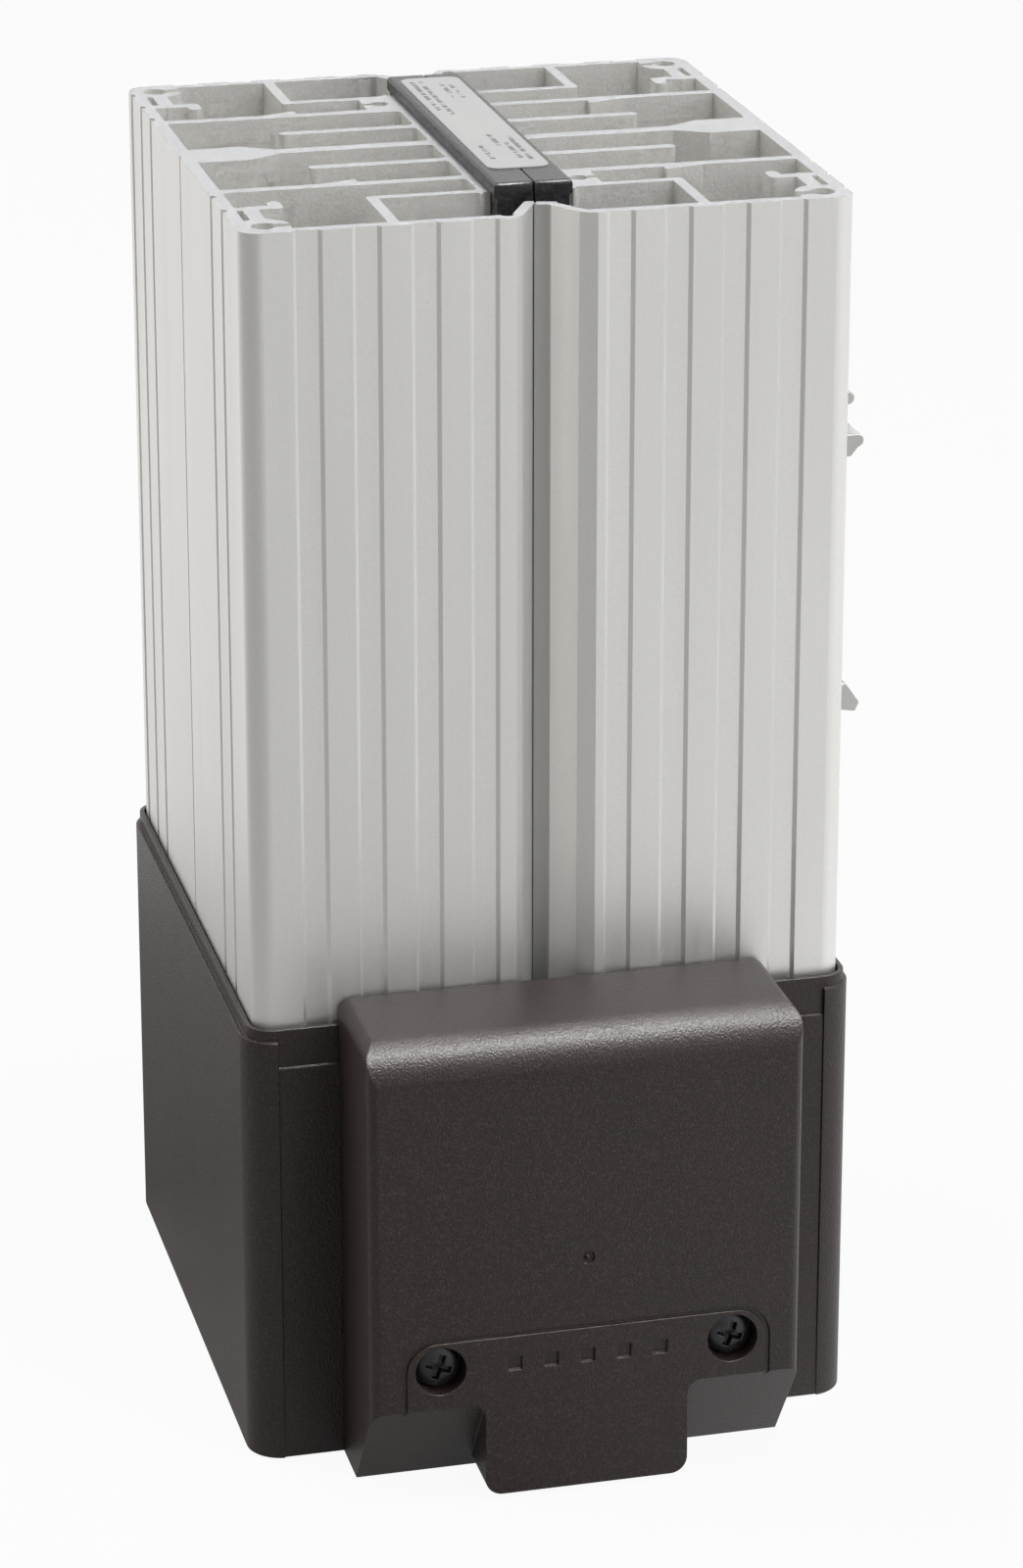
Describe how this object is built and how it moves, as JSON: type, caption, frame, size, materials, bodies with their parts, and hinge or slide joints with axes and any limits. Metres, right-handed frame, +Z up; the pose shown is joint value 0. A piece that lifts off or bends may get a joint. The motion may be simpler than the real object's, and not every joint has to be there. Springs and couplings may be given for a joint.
{
  "type": "enclosure heater with fan",
  "caption": "Cabinet fan heater: finned aluminium profile halves around a flat element, in a dark moulded base with an axial fan, a terminal cover and a rail clip.",
  "frame": {"origin": "underside of the base, below the middle of the finned profile", "axes": "+Z up along the profile, -Y towards the terminal cover, +X towards the rail clip"},
  "size_m": [0.0932, 0.1073, 0.1761],
  "materials": {
    "sink_aluminium": "satin anodised extrusion with sawn ends",
    "cap_plastic": "black moulded, fine texture",
    "label_film": "white film, no words",
    "base_plastic": "dark brown-black moulded, eroded texture",
    "screw_black": "blackened steel",
    "screw_zinc": "zinc plated",
    "clip_metal": "plain extruded, sawn ends",
    "element_metal": "plain pressed case",
    "block_plastic": "grey-green moulded",
    "fan_plastic": "black glass-filled",
    "magnet_ferrite": "ground ferrite",
    "shaft_steel": "ground",
    "copper_winding": "enamelled copper",
    "cutout_plastic": "brown moulded",
    "lug_metal": "tinned brass",
    "lead_white": "silicone insulation",
    "lead_red": "insulation",
    "lead_green": "insulation"
  },
  "bodies": {
    "housing": {"heat_sink_left": "sink_aluminium", "heat_sink_right": "sink_aluminium", "heater_cartridge": "element_metal", "element_cap_left": "cap_plastic", "element_cap_right": "cap_plastic", "element_label": "label_film", "base_housing": "base_plastic", "terminal_cover": "base_plastic", "cover_screws": "screw_black", "terminal_block": "block_plastic", "terminal_screws": "screw_zinc", "intake_grille": "base_plastic", "fan_frame": "fan_plastic", "fan_bearings": "shaft_steel", "fan_stator": "copper_winding", "fan_screws": "screw_zinc", "sink_screws": "screw_zinc", "din_clip": "clip_metal", "clip_screws": "screw_zinc", "thermal_cutout": "cutout_plastic", "cutout_screw": "screw_zinc", "earth_lug": "lug_metal", "earth_screw": "screw_zinc", "element_leads": "lead_white", "fan_leads": "lead_red", "earth_lead": "lead_green"},
    "rotor": {"fan_rotor": "fan_plastic", "fan_magnet": "magnet_ferrite", "fan_shaft": "shaft_steel"}
  },
  "joints": [
    {"name": "fan_spin", "type": "hinge", "parent": "housing", "child": "rotor", "pos_m": [0, 0, 0.0125], "axis": [0, 0, 1], "continuous": true}
  ]
}
